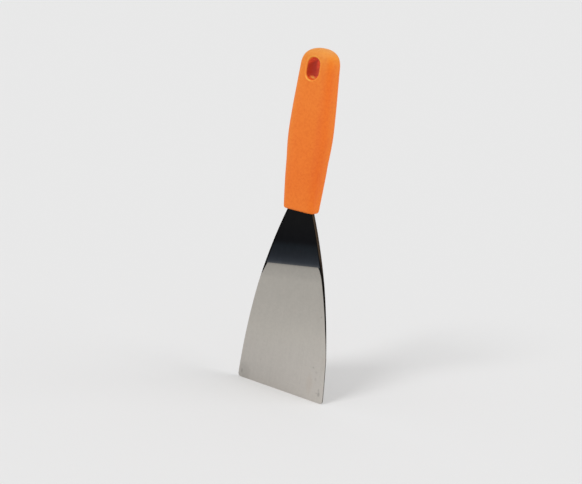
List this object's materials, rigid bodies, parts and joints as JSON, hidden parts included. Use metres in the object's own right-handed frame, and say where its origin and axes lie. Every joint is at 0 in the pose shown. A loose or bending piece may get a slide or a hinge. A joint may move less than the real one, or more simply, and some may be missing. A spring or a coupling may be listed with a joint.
{
  "type": "cleaning scraper",
  "caption": "Flat hand scraper: a hollow-ground steel blade that flares to a straight scraping edge, in a moulded plastic handle with a hanging slot through its top.",
  "frame": {"origin": "middle of the straight scraping edge, on the edge's narrow flat", "axes": "+X across the blade's width, +Y from the front face to the back, +Z from the scraping edge up to the handle's top"},
  "size_m": [0.0758, 0.0206, 0.24],
  "materials": {
    "blade_steel": "lengthwise brushed grind below a darker polished neck",
    "handle_plastic": "orange, finely textured matte moulding"
  },
  "bodies": {
    "root": {"blade": "blade_steel", "handle": "handle_plastic"}
  },
  "joints": []
}
